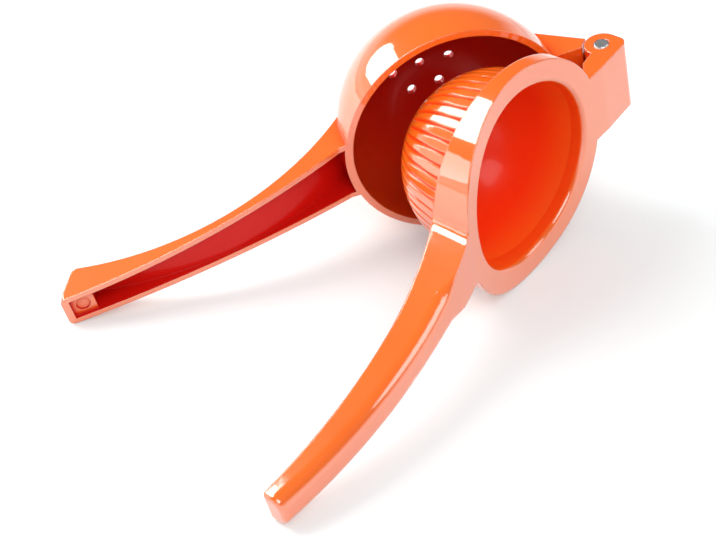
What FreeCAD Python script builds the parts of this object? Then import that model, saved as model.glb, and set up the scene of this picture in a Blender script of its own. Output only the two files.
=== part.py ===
# Hinged citrus press, cast aluminium with an enamel coat, drawn half open and lying on its side.
# Millimetres. The table is the plane Z = 0 and +Z is up.
#
# Both cast halves are drawn with the hinge axis along z through the origin.
# x runs from the hinge along the length, y is square to the rim and points
# from the bowl half to the press half. After that the bowl half is swung
# open and the pair is laid down on its side.
import FreeCAD, Part
import math
import os

V = FreeCAD.Vector

# hinge
pin_d = 5.6                 # steel hinge pin
pin_proud = 0.35            # how far each pin end stands out of the ears
pin_chamfer = 0.5
run_clear = 0.06            # running clearance on the radius, pin in the bowl half's knuckle
hinge_width = 27.9          # across both ears, along the pin
eye_r = 6.15                # round head of the ears
ear_t = 8.0                 # thickness of one ear
side_gap = 0.25             # knuckle to ear, each side
knuckle_r = 5.7
slot_gap = 0.5              # knuckle to the closed back of the slot
nose_gap = 0.75             # shoulder of the bowl arm to the round ears

# the two round parts
reach = 57.2                # pin to the centre of the bowl and of the dome
rim_y = 2.6                 # rim plane, measured from the pin
seat_gap = 0.15             # flange to rim when closed
open_angle = 30.8           # opening angle in the rest pose, degrees

# bowl
bowl_or = 42.2              # outside radius
bowl_wall = 2.5
bowl_band = 7.4             # straight band under the rim, then a half sphere
hole_d = 3.6                # seven drain holes
hole_ring = 11.3            # six of them stand on this radius
arm_front = -2.0            # front face of the bowl's hinge arm
shoulder_angle = 58.0       # back corner of the shoulder, degrees below the rim plane
arm_root_in = 6.0           # where the back of the arm runs into the bowl, in from its outside
arm_root_drop = 16.7        # and below the bowl's straight band
neck_reach = 0.3            # the neck under the shoulder, as a share of the arm

# bowl handle
bh_length = 109.6           # bowl to the end of the handle
bh_tip_y = 21.9             # rim of the channel at the end
bh_bulge = 4.4              # bow of that rim over its length
bh_crest_run = 68.6         # bowl to the highest point of the back
bh_crest_y = 13.7           # and its height
bh_back_r = 105.0           # radius of the back
bh_sink = 9.5               # how far the handle's root starts inside the bowl's outside
bh_lip = 1.5                # flat bit of the handle's front next to the bowl's rim
bh_slant = 6.6              # how far the slanted end leans in, down to its back
bh_heel_round = 2.6         # corner between the end and the back
bh_end_round = 2.0          # corners of the end, seen square to the rim
bh_half_root = 12.7         # half width at the root
bh_half_tip = 5.9           # half width at the end
bh_waist = 1.35             # how far the sides bow in
bh_wall = 1.9               # side walls of the channel
bh_end_wall = 2.6           # wall at the end of the channel
bh_floor = 2.2              # floor of the channel
bh_land_l = 11.0            # shallow end pocket, length from the tip
bh_land_depth = 1.5
bh_mark_d = 5.0             # round mould mark in the end pocket
bh_mark_depth = 0.3
bh_mark_fall = 0.4          # the pocket's floor lies this much lower at the mark than at the end
root_gap = 0.6              # bowl to the start of the channel

# press ring, dome and handle
ring_r = 41.6               # outside radius of the flange
opening_r = 33.0            # open back of the dome
lip_round = 1.8             # edge of the opening
plate_t = 5.45              # thickness of the flange at the hinge
rise_in = 52.2              # the back face starts to rise this far in from the ring's outer end
rise_r = 131.0              # radius of that rise
crest_y = 38.1              # height of the handle's back
crest_r = 225.0             # radius of the handle's back
ph_length = 108.7           # ring to the end of the handle
ph_tip_y = 29.8             # inner edge at the end
ph_bulge = 6.6              # bow of the inner edge
ph_half = 6.1               # half width of the handle
ph_flare_run = 43.2         # length over which the handle widens toward the ring
ph_flare_r = 250.0
ph_join_r = 4.5             # corner between ring and handle, seen square to the rim
ph_neck = 12.2              # ring to where the rounding of the back edges starts to widen
ph_round_run = 9.0          # length over which it widens
ph_round_start = 0.4        # that rounding where it starts
ph_round = 4.2              # and all along the handle after that
ph_edge = 1.2               # rounding of the handle's inner edges
ph_end_round = 1.5          # edges of the handle's end
cap_r = 33.6                # round end of the dome
cap_drop = 6.7              # centre of that round end, below the flange
dome_base_r = 36.3          # dome at the flange
dome_wall = 3.0
dome_lap = 1.0              # how far the dome runs up into the flange
flutes = 52
flute_half = 1.15           # half width of a groove at the flange
flute_rise = 4.0            # height of the cutting V
flute_arc_r = 54.0          # arc of the groove's bottom
flute_depth = 1.5           # depth of a groove at the flange
flute_end = 52.0            # angle where the grooves run out, from the flange plane
flute_over = 4.0            # degrees that the cutting V turns past that
arm_step = 0.1              # front face of the press arm, below the pin axis
arm_run = 12.2              # over this length it rises
arm_rise = 1.0              # by this much
ear_back = 7.0              # back face at the hinge end
ear_corner = 3.0
crease_x = 11.0             # up to here the back face slopes, and beyond it is flat
throat_x = 9.0              # mouth of the slot for the knuckle
throat_y = 2.4              # and its height

lap = 0.5                   # how far drawn outlines run past a face that they are joined to or cut
past = 60.0                 # cutting tools run this far past the part
press_low = -20.0           # the press half's plan stands between these heights
press_high = 60.0
tiny = 0.01                 # points closer than this are the same

seat_y = rim_y + seat_gap
back_y = seat_y + plate_t
half_h = hinge_width / 2.0
knuckle_half = half_h - ear_t - side_gap
slot_half = half_h - ear_t
band_y = rim_y - bowl_band
bowl_end = reach + bowl_or
ring_end = reach + ring_r
bh_tip = bowl_end + bh_length
bh_crest_x = bowl_end + bh_crest_run
bh_heel_x = bh_tip - bh_slant
rise_x = ring_end - rise_in
ph_tip = ring_end + ph_length
ph_flare_x = ring_end + ph_flare_run
ph_round_x = ring_end + ph_neck
ph_wide_x = ph_round_x + ph_round_run
bar_x = reach + ring_r / 2.0


def p(x, y, z=0.0):
    return V(x, y, z)


def line(a, b):
    return Part.LineSegment(a, b).toShape()


def arc(a, m, b):
    return Part.Arc(a, m, b).toShape()


def bulge_point(a, b, h):
    # middle of an arc from a to b that stands h to the left of the chord
    d = b.sub(a)
    n = V(-d.y, d.x, 0)
    n.normalize()
    return a.add(b).multiply(0.5).add(n.multiply(h))


def on_circle(c, r, deg):
    t = math.radians(deg)
    return V(c.x + r * math.cos(t), c.y + r * math.sin(t), 0)


def prism_z(edges, half):
    # side view drawn in x and y, pulled out to both sides along z
    face = Part.Face(Part.Wire(Part.__sortEdges__(edges)))
    solid = face.extrude(V(0, 0, 2 * half))
    solid.translate(V(0, 0, -half))
    return solid


def prism_y(edges, low, high):
    # plan drawn in x and y, stood up so that its y becomes z
    face = Part.Face(Part.Wire(Part.__sortEdges__(edges)))
    solid = face.extrude(V(0, 0, high - low))
    solid.rotate(V(0, 0, 0), V(1, 0, 0), 90)
    solid.translate(V(0, high, 0))
    return solid


def box(x0, x1, y0, y1, z0, z1):
    return Part.makeBox(x1 - x0, y1 - y0, z1 - z0, V(x0, y0, z0))


def lathe(edges, x):
    # outline drawn in x (radius) and y, turned about the y direction at x
    face = Part.Face(Part.Wire(Part.__sortEdges__(edges)))
    solid = face.revolve(V(0, 0, 0), V(0, 1, 0), 360)
    solid.translate(V(x, 0, 0))
    return solid


def soften(solid, radius, pick):
    edges = [e for e in solid.Edges if pick(e)]
    return solid.makeFillet(radius, edges)


def mid(e):
    return e.valueAt((e.FirstParameter + e.LastParameter) / 2.0)


def post(x, z, radius, low=-past, high=past):
    # round post or cutter, square to the rim
    return Part.makeCylinder(radius, high - low, V(x, low, z), V(0, 1, 0))


def pin_bore(radius):
    return Part.makeCylinder(radius, 2 * past, V(0, 0, -past))


def upright(e):
    # edge square to the rim
    d = e.Vertexes[-1].Point.sub(e.Vertexes[0].Point)
    return abs(d.y) > tiny and math.hypot(d.x, d.z) < tiny


# bowl half

def bowl_cup():
    ri = bowl_or - bowl_wall
    c = p(0, band_y)
    edges = [line(p(0, band_y - bowl_or), p(0, band_y - ri)),
             arc(p(0, band_y - bowl_or), on_circle(c, bowl_or, -45), p(bowl_or, band_y)),
             line(p(bowl_or, band_y), p(bowl_or, rim_y)),
             line(p(bowl_or, rim_y), p(ri, rim_y)),
             line(p(ri, rim_y), p(ri, band_y)),
             arc(p(ri, band_y), on_circle(c, ri, -45), p(0, band_y - ri))]
    return lathe(edges, reach)


def bowl_core():
    # everything inside the bowl
    ri = bowl_or - bowl_wall
    c = p(0, band_y)
    edges = [line(p(0, past), p(0, band_y - ri)),
             arc(p(ri, band_y), on_circle(c, ri, -45), p(0, band_y - ri)),
             line(p(ri, band_y), p(ri, past)),
             line(p(ri, past), p(0, past))]
    return lathe(edges, reach)


def bowl_handle():
    root = bowl_end - bh_sink
    start = p(bowl_end + bh_lip, rim_y)
    end = p(bh_tip, bh_tip_y)
    crest = p(bh_crest_x, bh_crest_y - bh_back_r)

    def back_y_at(x, r):
        return crest.y + math.sqrt(r * r - (x - crest.x) ** 2)

    heel = p(bh_heel_x, back_y_at(bh_heel_x, bh_back_r))
    foot = p(root, back_y_at(root, bh_back_r))
    top = p(bh_crest_x, bh_crest_y)
    side = [line(p(root, rim_y), start),
            arc(start, bulge_point(start, end, bh_bulge), end),
            line(end, heel),
            arc(heel, top, foot),
            line(foot, p(root, rim_y))]
    a = p(root, bh_half_root)
    b = p(bh_tip, bh_half_tip)
    m = bulge_point(a, b, -bh_waist)
    plan = [arc(a, m, b), line(b, p(b.x, -b.y)),
            arc(p(b.x, -b.y), p(m.x, -m.y), p(a.x, -a.y)), line(p(a.x, -a.y), a)]
    plan = soften(prism_y(plan, -past, past), bh_end_round, lambda e: upright(e) and mid(e).x > bh_heel_x)
    solid = prism_z(side, past).common(plan)
    solid = soften(solid, bh_heel_round, lambda e: mid(e).sub(heel).Length < lap)

    # the channel, open toward the other half
    far = bh_tip - bh_land_l
    rf = bh_back_r + bh_floor
    floor_far = p(far, back_y_at(far, rf))
    floor_root = p(root, back_y_at(root, rf))
    hollow = [line(p(root, past), p(far, past)),
              line(p(far, past), floor_far),
              arc(floor_far, p(bh_crest_x, bh_crest_y + bh_floor), floor_root),
              line(floor_root, p(root, past))]
    a = p(root, bh_half_root - bh_wall)
    b = p(bh_tip - bh_end_wall, bh_half_tip - bh_wall)
    m = bulge_point(a, b, -bh_waist)
    inner = [arc(a, m, b), line(b, p(b.x, -b.y)),
             arc(p(b.x, -b.y), p(m.x, -m.y), p(a.x, -a.y)), line(p(a.x, -a.y), a)]
    inner = prism_y(inner, -past, past)
    channel = prism_z(hollow, past).common(inner)
    solid = solid.cut(channel.cut(post(reach, 0, bowl_or + root_gap)))

    # shallow pocket at the end, with a round mould mark
    s = p(start.x, start.y - bh_land_depth)
    e = p(end.x, end.y - bh_land_depth)
    pocket = [arc(s, bulge_point(s, e, bh_bulge), e),
              line(e, p(e.x, past)),
              line(p(e.x, past), p(s.x, past)),
              line(p(s.x, past), s)]
    pocket = prism_z(pocket, past).common(inner)
    solid = solid.cut(pocket.common(box(far - lap, bh_tip, -past, past, -past, past)))
    mx = bh_tip - (bh_land_l + bh_end_wall) / 2.0
    floor = bh_tip_y - bh_land_depth - bh_mark_depth - bh_mark_fall
    return solid.cut(Part.makeCylinder(bh_mark_d / 2.0, past, V(mx, floor, 0), V(0, 1, 0)))


def bowl_arm():
    # full width arm that ends in a shoulder, then a narrow knuckle between the ears
    nose = on_circle(p(0, 0), eye_r + nose_gap, -shoulder_angle)
    root = p(reach - bowl_or + arm_root_in, band_y - arm_root_drop)
    edges = [line(p(0, arm_front), p(root.x, arm_front)),
             line(p(root.x, arm_front), root),
             line(root, nose),
             line(nose, p(0, arm_front))]
    wide = prism_z(edges, half_h)
    wide = wide.cut(Part.makeCylinder(eye_r + nose_gap, 2 * half_h, V(0, 0, -half_h)))
    knuckle = Part.makeCylinder(knuckle_r, 2 * knuckle_half, V(0, 0, -knuckle_half))
    under = nose.add(root.sub(nose).multiply(neck_reach))
    deg = math.degrees(math.atan2(under.y, under.x) - math.acos(knuckle_r / under.Length))
    tangent = on_circle(p(0, 0), knuckle_r, deg)
    edges = [line(p(0, arm_front), p(under.x, arm_front)),
             line(p(under.x, arm_front), under),
             line(under, tangent),
             line(tangent, p(0, arm_front))]
    neck = prism_z(edges, knuckle_half)
    return wide.fuse([knuckle, neck])


def drain_holes():
    # one hole at the bottom of the bowl and six round it
    spots = [(0.0, 0.0)]
    for i in range(6):
        t = math.radians(60 * i)
        spots.append((hole_ring * math.cos(t), hole_ring * math.sin(t)))
    return [post(reach + x, z, hole_d / 2.0) for x, z in spots]


def bowl_half():
    body = bowl_cup().fuse([bowl_handle(), bowl_arm()])
    body = body.cut(bowl_core())
    body = body.cut(drain_holes())
    body = body.cut(pin_bore(pin_d / 2.0 + run_clear))
    return body.removeSplitter()


# press half

def press_side():
    # side view of ring, arm and handle
    r1 = rise_r
    r2 = crest_r
    c1 = p(rise_x, back_y + r1)
    dy = c1.y - (crest_y - r2)
    c2 = p(rise_x + math.sqrt((r1 + r2) ** 2 - dy * dy), crest_y - r2)
    k = r1 / (r1 + r2)
    turn = c1.add(c2.sub(c1).multiply(k))
    tip_back = p(ph_tip, c2.y + math.sqrt(r2 * r2 - (ph_tip - c2.x) ** 2))
    a_turn = math.degrees(math.atan2(turn.y - c2.y, turn.x - c2.x))
    a_tip = math.degrees(math.atan2(tip_back.y - c2.y, tip_back.x - c2.x))
    b_turn = math.degrees(math.atan2(turn.y - c1.y, turn.x - c1.x))
    start = p(ring_end - lap, seat_y)
    tip = p(ph_tip, ph_tip_y)
    notch = p(math.sqrt(eye_r ** 2 - arm_step ** 2), -arm_step)
    arm_end = p(reach - bowl_or - lap, seat_y)
    slope = (back_y - ear_back) / (crease_x + eye_r)
    e1 = p(-eye_r, ear_back - ear_corner)
    e2 = p(-eye_r + ear_corner, ear_back + slope * ear_corner)
    cut_in = ear_corner * (1.0 - math.sqrt(0.5))
    em = p(-eye_r + cut_in, ear_back - cut_in)
    return [arc(p(-eye_r, 0), p(0, -eye_r), notch),
            line(notch, p(arm_run, arm_rise - arm_step)),
            line(p(arm_run, arm_rise - arm_step), arm_end),
            line(arm_end, start),
            arc(start, bulge_point(start, tip, ph_bulge), tip),
            line(tip, tip_back),
            arc(tip_back, on_circle(c2, r2, (a_turn + a_tip) / 2.0), turn),
            arc(turn, on_circle(c1, r1, (b_turn - 90) / 2.0), p(rise_x, back_y)),
            line(p(rise_x, back_y), p(crease_x, back_y)),
            line(p(crease_x, back_y), e2),
            arc(e2, em, e1),
            line(e1, p(-eye_r, 0))]


def press_plan():
    # seen square to the rim: hinge arm, disc and handle
    disc = post(reach, 0, ring_r, press_low, press_high)
    arm = box(-past, reach, press_low, press_high, -half_h, half_h)
    flare = p(ph_flare_x, ph_half)
    c = p(ph_flare_x, ph_half + ph_flare_r)
    root = p(bar_x, c.y - math.sqrt(ph_flare_r ** 2 - (bar_x - c.x) ** 2))
    turn = math.degrees(math.atan2(root.y - c.y, root.x - c.x))
    m = on_circle(c, ph_flare_r, (turn - 90) / 2.0)
    end = ph_tip + past
    edges = [arc(root, m, flare), line(flare, p(end, ph_half)),
             line(p(end, ph_half), p(end, -ph_half)), line(p(end, -ph_half), p(ph_flare_x, -ph_half)),
             arc(p(ph_flare_x, -ph_half), p(m.x, -m.y), p(root.x, -root.y)), line(p(root.x, -root.y), root)]
    plan = disc.fuse([arm, prism_y(edges, press_low, press_high)]).removeSplitter()
    return soften(plan, ph_join_r, lambda e: upright(e) and bar_x < mid(e).x < ph_flare_x)


def dome_outline(cap, base, top):
    # straight flank that runs tangent into the round end
    c = p(0, seat_y - cap_drop)
    b = p(base, seat_y)
    dist = math.hypot(b.x, b.y - c.y)
    a = math.degrees(math.atan2(b.y - c.y, b.x)) - math.degrees(math.acos(cap / dist))
    t = on_circle(c, cap, a)
    pole = p(0, c.y - cap)
    return [line(p(0, top), pole),
            arc(pole, on_circle(c, cap, (a - 90) / 2.0), t),
            line(t, b),
            line(b, p(base, top)),
            line(p(base, top), p(0, top))]


def flute_tools():
    # each groove is a V turned along an arc that starts deep at the flange and runs out of the dome
    c = p(0, seat_y - cap_drop)
    deep = p(dome_base_r - flute_depth, seat_y)
    out = on_circle(c, cap_r, -flute_end)
    hub = flute_hub(deep, out, c)
    r = deep.sub(hub).Length
    a0 = math.degrees(math.atan2(deep.y - hub.y, deep.x - hub.x))
    a1 = math.degrees(math.atan2(out.y - hub.y, out.x - hub.x))
    wide = flute_rise * flute_half / flute_depth
    tri = Part.makePolygon([V(hub.x + r, hub.y, 0), V(hub.x + r + flute_rise, hub.y, wide),
                            V(hub.x + r + flute_rise, hub.y, -wide), V(hub.x + r, hub.y, 0)])
    tool = Part.Face(tri).revolve(V(hub.x, hub.y, 0), V(0, 0, 1), a1 - a0 - flute_over)
    tool.rotate(V(hub.x, hub.y, 0), V(0, 0, 1), a0)
    tools = []
    for i in range(flutes):
        t = tool.copy()
        t.rotate(V(0, 0, 0), V(0, 1, 0), 360.0 * (i + 0.5) / flutes)
        t.translate(V(reach, 0, 0))
        tools.append(t)
    return tools


def flute_hub(a, b, c):
    # centre of the groove's arc, further back than the dome's own centre
    m = a.add(b).multiply(0.5)
    d = b.sub(a)
    n = V(d.y, -d.x, 0)
    n.normalize()
    return m.add(n.multiply(math.sqrt(flute_arc_r ** 2 - d.Length ** 2 / 4.0)))


def outer_edge(solid, e, y):
    # edge along the handle with nothing of the solid next to it on its back (y over 0) or inner side
    along = abs(e.Vertexes[0].X - e.Vertexes[-1].X) > ph_half / 2.0 and abs(mid(e).z) > ph_half / 2.0
    return along and not solid.isInside(mid(e).add(V(0, y, 0)), tiny, True)


def on_opening(q):
    return abs(math.hypot(q.x - reach, q.z) - opening_r) < tiny


def press_ring(body):
    # flange and hinge arm with the opening, up to where the handle's wide rounding starts
    ring = body.common(box(-past, ph_round_x, -past, past, -past, past))
    ring = soften(ring, ph_edge, lambda e: mid(e).x > ring_end and outer_edge(ring, e, -ph_edge))
    ring = ring.cut(post(reach, 0, opening_r))
    return soften(ring, lip_round, lambda e: on_opening(mid(e)) and min(v.Y for v in e.Vertexes) > seat_y)


def press_bar(body):
    # handle: the rounding of its back starts narrow and widens
    neck = body.common(box(ph_round_x, ph_wide_x, -past, past, -past, past))
    neck = neck.makeFillet(ph_round, ph_round_start, [e for e in neck.Edges if outer_edge(neck, e, ph_edge)])
    neck = soften(neck, ph_edge, lambda e: outer_edge(neck, e, -ph_edge))
    bar = body.common(box(ph_wide_x, ph_tip + past, -past, past, -past, past))
    bar = soften(bar, ph_round, lambda e: outer_edge(bar, e, ph_edge))
    bar = soften(bar, ph_edge, lambda e: outer_edge(bar, e, -ph_edge))
    bar = soften(bar, ph_end_round, lambda e: min(v.X for v in e.Vertexes) > ph_tip - lap)
    return [neck, bar]


def press_dome():
    # ribbed shell, open at the back
    flank_in = dome_wall / math.cos(math.atan2(dome_base_r - cap_r, cap_drop))
    top = seat_y + dome_lap
    shell = lathe(dome_outline(cap_r, dome_base_r, top), reach)
    shell = shell.cut(flute_tools())
    return shell.cut(lathe(dome_outline(cap_r - dome_wall, dome_base_r - flank_in, past), reach))


def press_half():
    body = prism_z(press_side(), past).common(press_plan())
    body = press_ring(body).fuse(press_bar(body) + [press_dome()])
    # slot for the knuckle, then the bore for the pin
    slot = Part.makeCylinder(knuckle_r + slot_gap, 2 * slot_half, V(0, 0, -slot_half))
    throat = box(-past, throat_x, -past, throat_y, -slot_half, slot_half)
    body = body.cut([slot, throat])
    body = body.cut(pin_bore(pin_d / 2.0))
    return body.removeSplitter()


def hinge_pin():
    length = hinge_width + 2 * pin_proud
    pin = Part.makeCylinder(pin_d / 2.0, length, V(0, 0, -length / 2.0))
    return pin.makeChamfer(pin_chamfer, [e for e in pin.Edges if e.Closed and abs(mid(e).z) > half_h])


# laying the open pair down on its side

def points_of(shape):
    return shape.tessellate(0.05)[0]


def lowest(points, n):
    return min(n.x * q.x + n.y * q.y + n.z * q.z for q in points)


def up_normal(feet):
    # table normal for which the three feet touch the table together
    a = 0.0
    b = 0.0

    def normal(a, b):
        n = V(math.sin(a), math.sin(b), 1.0)
        n.normalize()
        return n

    def gaps(a, b):
        h = [lowest(f, normal(a, b)) for f in feet]
        return h[1] - h[0], h[2] - h[0]

    step = 1e-4
    for _ in range(12):
        g0, g1 = gaps(a, b)
        ga = gaps(a + step, b)
        gb = gaps(a, b + step)
        j00 = (ga[0] - g0) / step
        j10 = (ga[1] - g1) / step
        j01 = (gb[0] - g0) / step
        j11 = (gb[1] - g1) / step
        det = j00 * j11 - j01 * j10
        a = a - (g0 * j11 - g1 * j01) / det
        b = b - (g1 * j00 - g0 * j10) / det
    return normal(a, b)


def lay_down(bowl, press, pin):
    axis = V(0, 0, 1)
    bowl.rotate(V(0, 0, 0), axis, -open_angle)
    pb = points_of(bowl)
    pp = points_of(press)
    feet = [[q for q in pb if q.Length < bowl_end], [q for q in pp if q.Length < bowl_end],
            [q for q in pb + pp if q.Length > bh_crest_x]]
    up = up_normal(feet)
    turn = FreeCAD.Rotation(up, axis)
    along = turn.multVec(V(math.cos(math.radians(-open_angle)), math.sin(math.radians(-open_angle)), 0))
    flat = FreeCAD.Rotation(axis, math.degrees(math.atan2(0.0, -1.0) - math.atan2(along.y, along.x)))
    place = FreeCAD.Placement(V(0, 0, 0), flat.multiply(turn))
    shapes = [bowl, press, pin]
    for s in shapes:
        s.Placement = place.multiply(s.Placement)
    boxes = [s.optimalBoundingBox(True) for s in shapes]
    shift = V(-(min(q.XMin for q in boxes) + max(q.XMax for q in boxes)) / 2.0,
              -(min(q.YMin for q in boxes) + max(q.YMax for q in boxes)) / 2.0,
              -min(q.ZMin for q in boxes))
    for s in shapes:
        s.translate(shift)
    return place, shift


def main():
    os.makedirs("parts", exist_ok=True)
    bowl = bowl_half()
    press = press_half()
    pin = hinge_pin()
    place, shift = lay_down(bowl, press, pin)
    for name, shape in (("bowl_half", bowl), ("press_half", press), ("hinge_pin", pin)):
        shape.exportStep("parts/" + name + ".step")
        q = shape.optimalBoundingBox(True)
        print(name, shape.isValid(), len(shape.Solids), "%.0f mm3" % shape.Volume,
              "x %.1f..%.1f y %.1f..%.1f z %.1f..%.1f" % (q.XMin, q.XMax, q.YMin, q.YMax, q.ZMin, q.ZMax))
    centre = place.multVec(V(0, 0, 0)).add(shift)
    axis = place.Rotation.multVec(V(0, 0, 1))
    print("pin centre", [round(v, 3) for v in centre], "axis", [round(v, 6) for v in axis])


main()
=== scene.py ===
# Orange enamelled hand squeezer, half open on a white studio floor. Metres, +Z up.
import math

import bpy
from mathutils import Matrix, Vector


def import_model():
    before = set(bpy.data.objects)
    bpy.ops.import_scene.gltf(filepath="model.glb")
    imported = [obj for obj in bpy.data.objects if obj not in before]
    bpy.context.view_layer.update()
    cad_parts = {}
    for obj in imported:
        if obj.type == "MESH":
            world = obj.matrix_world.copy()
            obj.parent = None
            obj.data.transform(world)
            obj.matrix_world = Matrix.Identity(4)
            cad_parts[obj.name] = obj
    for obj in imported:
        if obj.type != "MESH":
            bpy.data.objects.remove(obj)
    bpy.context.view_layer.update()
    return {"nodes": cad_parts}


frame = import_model()

# The camera repeats the photograph's, found from the round rims, the hinge and the pin.
CAMERA_AT = Vector((-0.10856, -0.39664, 0.31800))
CAMERA_AZIMUTH = 14.172
CAMERA_DOWN = 36.013
CAMERA_ROLL = -1.056
LENS = 75.23

ORANGE = (0.93, 0.16, 0.012, 1.0)
ORANGE_DEEP = (0.90, 0.14, 0.010, 1.0)
# Painted shade: the deep reds the orange is mixed toward in hollows and in the handle's channel,
# standing in for light bouncing between their walls.
PAINTED_SHADE_BOWL = (0.62, 0.007, 0.004, 1.0)
PAINTED_SHADE_DOME = (0.90, 0.028, 0.004, 1.0)
STEEL = (0.62, 0.62, 0.63, 1.0)

# Enamel: what is the same all over, then the coat weight where the painted shade is full and how
# steeply the coat follows the painted shade.
ENAMEL = {"Roughness": 0.28, "Specular IOR Level": 0.2, "Coat Roughness": 0.05, "Coat IOR": 2.5}
PAINTED_SHADE_COAT = 0.03
COAT_FADE_WITH_SHADE = 3.0
HOLLOW_REACH = 0.06
# Painted shade: how shut in a place is where the painted red is full, and where the plain orange is.
BOWL_PAINTED_SHADE_STOPS = (0.55, 0.92)
DOME_PAINTED_SHADE_STOPS = (0.38, 0.80)
BOWL_EDGE = 0.0006
PRESS_EDGE = 0.0010
# Noise: scale and detail.
PATCHES = (22.0, 3.0)
RUNS = (160.0, 2.0)
GRAIN = (900.0, 4.0)
PATCH_RANGE = (0.3, 0.62)
BUMP_STRENGTH = 0.05
BUMP_HEIGHT = 0.0004
STEEL_ROUGHNESS = (0.38, 0.52)

# The bowl half: its pin, and the directions along the handle, toward the press half and along the pin.
PIN = Vector((0.09657, 0.04523, 0.05544))
ALONG = Vector((-0.97316, 0.0, -0.23014))
TOWARD = Vector((0.02152, -0.99562, -0.09101))
ACROSS = Vector((-0.22913, -0.09352, 0.96889))
# Height of the handle's rim and half its width, each a parabola in the distance from the pin.
RIM = (-1.53026, 0.652765, -0.0476847)
HALF = (0.38131, -0.171068, 0.0249973)
# Painted shade in the channel: where along the handle it starts and ends, how far below the rim it
# begins and how fast it deepens, then its wall margin and facing limit.
CHANNEL_START = 0.1003
CHANNEL_END = 0.198
CHANNEL_SHADE_BELOW_RIM = 0.0003
CHANNEL_SHADE_PER_METRE = 1500.0
WALL_MIDDLE = 0.0012
FACING_BACK = -0.3

FLOOR = (0.62, 0.655, 0.655, 1.0)
FLOOR_ROUGHNESS = 0.9
FLOOR_GLOW = 0.26
FLOOR_SIZE = 12.0
FLOOR_DROP = 0.0002
WHITE = (1.0, 1.0, 1.0, 1.0)
SOFT_LIGHT = (0.62, 0.62, 0.62, 1.0)
# What reflections see, by height over the horizon.
HORIZON = (0.02, (0.9, 0.9, 0.9, 1.0))
CEILING = (0.30, (0.08, 0.08, 0.08, 1.0))

AIM = Vector((0.0, 0.0, 0.03))
# Place, width and power.
LAMPS = {
    "key": ((-0.66, 0.42, 0.95), 0.8, 11.0),
    "left": ((-1.15, 0.25, 0.32), 0.5, 1.2),
    "back": ((-0.62, 0.98, 0.48), 0.5, 3.0),
    "side": ((0.95, -0.25, 0.70), 0.7, 2.6),
    "front": ((-0.10, -1.00, 1.00), 0.9, 7.0),
}


def node(tree, kind, **values):
    n = tree.nodes.new(kind)
    for name, value in values.items():
        setattr(n, name, value)
    return n


def new_material(name):
    m = bpy.data.materials.new(name)
    m.use_nodes = True
    tree = m.node_tree
    return m, tree, tree.nodes["Principled BSDF"]


def noise(tree, scale, detail):
    coords = node(tree, "ShaderNodeTexCoord")
    n = node(tree, "ShaderNodeTexNoise")
    n.inputs["Scale"].default_value = scale
    n.inputs["Detail"].default_value = detail
    tree.links.new(coords.outputs["Object"], n.inputs["Vector"])
    return n.outputs["Fac"]


def ramp(tree, value, low, high):
    # colour ramp between two stops, each a position and perhaps a colour
    n = node(tree, "ShaderNodeValToRGB")
    for element, stop in zip(n.color_ramp.elements, (low, high)):
        element.position = stop[0]
        if len(stop) > 1:
            element.color = stop[1]
    tree.links.new(value, n.inputs["Fac"])
    return n.outputs["Color"]


def mix(tree, factor, a, b):
    # each of a and b is a colour or a socket
    n = node(tree, "ShaderNodeMix", data_type="RGBA")
    tree.links.new(factor, n.inputs["Factor"])
    for name, value in (("A", a), ("B", b)):
        if isinstance(value, tuple):
            n.inputs[name].default_value = value
        else:
            tree.links.new(value, n.inputs[name])
    return n.outputs["Result"]


def calc(tree, operation, *values):
    # products are kept between 0 and 1, because all of them make masks
    n = node(tree, "ShaderNodeMath", operation=operation, use_clamp=operation == "MULTIPLY")
    for slot, value in enumerate(values):
        if isinstance(value, float):
            n.inputs[slot].default_value = value
        else:
            tree.links.new(value, n.inputs[slot])
    return n.outputs[0]


def part_along(tree, vector, way):
    n = node(tree, "ShaderNodeVectorMath", operation="DOT_PRODUCT")
    tree.links.new(vector, n.inputs[0])
    n.inputs[1].default_value = way
    return n.outputs["Value"]


def from_pin(tree, place, way):
    return calc(tree, "SUBTRACT", part_along(tree, place, way), PIN.dot(way))


def parabola(tree, at, terms):
    slope = calc(tree, "MULTIPLY_ADD", at, terms[0], terms[1])
    return calc(tree, "MULTIPLY_ADD", at, slope, terms[2])


def channel(tree):
    # painted shade mask, standing in for the channel's depth: 1 on the floor and inner walls of the
    # handle's channel, up to its end pocket
    coords = node(tree, "ShaderNodeTexCoord")
    place = coords.outputs["Object"]
    along = from_pin(tree, place, ALONG)
    across = calc(tree, "ABSOLUTE", from_pin(tree, place, ACROSS))
    sunk = calc(tree, "SUBTRACT", parabola(tree, along, RIM), from_pin(tree, place, TOWARD))
    sunk = calc(tree, "SUBTRACT", sunk, CHANNEL_SHADE_BELOW_RIM)
    room = calc(tree, "SUBTRACT", parabola(tree, along, HALF), across)
    faces = part_along(tree, coords.outputs["Normal"], TOWARD)
    mask = calc(tree, "MULTIPLY", sunk, CHANNEL_SHADE_PER_METRE)
    for limit in (calc(tree, "GREATER_THAN", room, WALL_MIDDLE),
                  calc(tree, "GREATER_THAN", faces, FACING_BACK),
                  calc(tree, "GREATER_THAN", along, CHANNEL_START),
                  calc(tree, "LESS_THAN", along, CHANNEL_END)):
        mask = calc(tree, "MULTIPLY", mask, limit)
    return mask


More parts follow.
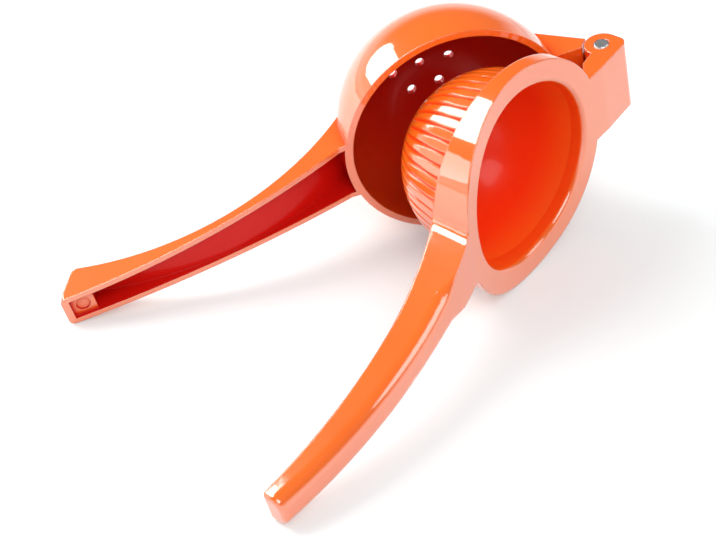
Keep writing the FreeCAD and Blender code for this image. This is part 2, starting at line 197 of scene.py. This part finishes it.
def enamel(edge, red, shades, hollow=None):
    m, tree, bsdf = new_material("orange_enamel")
    orange = ramp(tree, noise(tree, *PATCHES), (PATCH_RANGE[0], ORANGE_DEEP), (PATCH_RANGE[1], ORANGE))
    # painted shade: ambient occlusion finds the hollows and the orange is mixed toward red there,
    # standing in for light bouncing between the walls of a hollow
    open_air = node(tree, "ShaderNodeAmbientOcclusion", samples=12, only_local=True)
    open_air.inputs["Distance"].default_value = HOLLOW_REACH
    bright = ramp(tree, open_air.outputs["AO"], shades[:1], shades[1:])
    if hollow:
        # painted shade: the channel mask turns the colour full red there
        bright = calc(tree, "MULTIPLY", bright, calc(tree, "SUBTRACT", 1.0, hollow(tree)))
    tree.links.new(mix(tree, bright, red, orange), bsdf.inputs["Base Color"])
    # the coat weight follows the painted shade: thin in shaded hollows, full in the open
    gloss = node(tree, "ShaderNodeMapRange")
    gloss.inputs["To Min"].default_value = PAINTED_SHADE_COAT
    tree.links.new(calc(tree, "POWER", bright, COAT_FADE_WITH_SHADE), gloss.inputs["Value"])
    tree.links.new(gloss.outputs["Result"], bsdf.inputs["Coat Weight"])
    soft = node(tree, "ShaderNodeBevel", samples=6)
    soft.inputs["Radius"].default_value = edge
    bump = node(tree, "ShaderNodeBump")
    bump.inputs["Strength"].default_value = BUMP_STRENGTH
    bump.inputs["Distance"].default_value = BUMP_HEIGHT
    tree.links.new(noise(tree, *RUNS), bump.inputs["Height"])
    tree.links.new(soft.outputs["Normal"], bump.inputs["Normal"])
    tree.links.new(bump.outputs["Normal"], bsdf.inputs["Normal"])
    tree.links.new(bump.outputs["Normal"], bsdf.inputs["Coat Normal"])
    for name, value in ENAMEL.items():
        bsdf.inputs[name].default_value = value
    return m


def steel():
    m, tree, bsdf = new_material("pin_steel")
    spread = node(tree, "ShaderNodeMapRange")
    spread.inputs["To Min"].default_value = STEEL_ROUGHNESS[0]
    spread.inputs["To Max"].default_value = STEEL_ROUGHNESS[1]
    tree.links.new(noise(tree, *GRAIN), spread.inputs["Value"])
    tree.links.new(spread.outputs["Result"], bsdf.inputs["Roughness"])
    bsdf.inputs["Base Color"].default_value = STEEL
    bsdf.inputs["Metallic"].default_value = 1.0
    return m


def dress():
    looks = {"bowl_half": enamel(BOWL_EDGE, PAINTED_SHADE_BOWL, BOWL_PAINTED_SHADE_STOPS, channel),
             "press_half": enamel(PRESS_EDGE, PAINTED_SHADE_DOME, DOME_PAINTED_SHADE_STOPS), "hinge_pin": steel()}
    for name, obj in frame["nodes"].items():
        obj.data.materials.clear()
        obj.data.materials.append(looks[name])


def floor():
    bpy.ops.mesh.primitive_plane_add(size=FLOOR_SIZE, location=(0.0, 0.0, -FLOOR_DROP))
    plane = bpy.context.object
    plane.name = "floor"
    m, tree, bsdf = new_material("floor_white")
    bsdf.inputs["Base Color"].default_value = FLOOR
    bsdf.inputs["Roughness"].default_value = FLOOR_ROUGHNESS
    bsdf.inputs["Specular IOR Level"].default_value = 0.0
    # the camera and mirror reflections see it a little brighter than it lights the object
    path = node(tree, "ShaderNodeLightPath")
    seen = calc(tree, "MAXIMUM", path.outputs["Is Camera Ray"], path.outputs["Is Glossy Ray"])
    glow = node(tree, "ShaderNodeEmission")
    glow.inputs["Color"].default_value = WHITE
    tree.links.new(calc(tree, "MULTIPLY", seen, FLOOR_GLOW), glow.inputs["Strength"])
    add = node(tree, "ShaderNodeAddShader")
    tree.links.new(bsdf.outputs[0], add.inputs[0])
    tree.links.new(glow.outputs[0], add.inputs[1])
    tree.links.new(add.outputs[0], tree.nodes["Material Output"].inputs["Surface"])
    plane.data.materials.append(m)


def world():
    w = bpy.data.worlds.new("studio")
    bpy.context.scene.world = w
    w.use_nodes = True
    tree = w.node_tree
    path = node(tree, "ShaderNodeLightPath")
    # reflections see a dim room above a white horizon
    coords = node(tree, "ShaderNodeTexCoord")
    split = node(tree, "ShaderNodeSeparateXYZ")
    tree.links.new(coords.outputs["Generated"], split.inputs[0])
    room = ramp(tree, split.outputs["Z"], HORIZON, CEILING)
    light = mix(tree, path.outputs["Is Glossy Ray"], SOFT_LIGHT, room)
    sky = mix(tree, path.outputs["Is Camera Ray"], light, WHITE)
    tree.links.new(sky, tree.nodes["Background"].inputs["Color"])


def lamp(name, at, size, power):
    data = bpy.data.lights.new(name, "AREA")
    data.shape = "DISK"
    data.size = size
    data.energy = power
    obj = bpy.data.objects.new(name, data)
    obj.location = at
    look = AIM - Vector(at)
    obj.rotation_euler = look.to_track_quat("-Z", "Y").to_euler()
    bpy.context.scene.collection.objects.link(obj)


def camera():
    data = bpy.data.cameras.new("photo_camera")
    data.lens = LENS
    data.sensor_width = 36.0
    data.clip_start = 0.01
    obj = bpy.data.objects.new("photo_camera", data)
    turn = (Matrix.Rotation(math.radians(-CAMERA_AZIMUTH), 4, "Z")
            @ Matrix.Rotation(math.radians(90.0 - CAMERA_DOWN), 4, "X")
            @ Matrix.Rotation(math.radians(CAMERA_ROLL), 4, "Z"))
    obj.matrix_world = Matrix.Translation(CAMERA_AT) @ turn
    bpy.context.scene.collection.objects.link(obj)
    bpy.context.scene.camera = obj


dress()
floor()
world()
for lamp_name, (lamp_at, lamp_size, lamp_power) in LAMPS.items():
    lamp(lamp_name, lamp_at, lamp_size, lamp_power)
camera()
bpy.context.scene.view_settings.view_transform = "Standard"
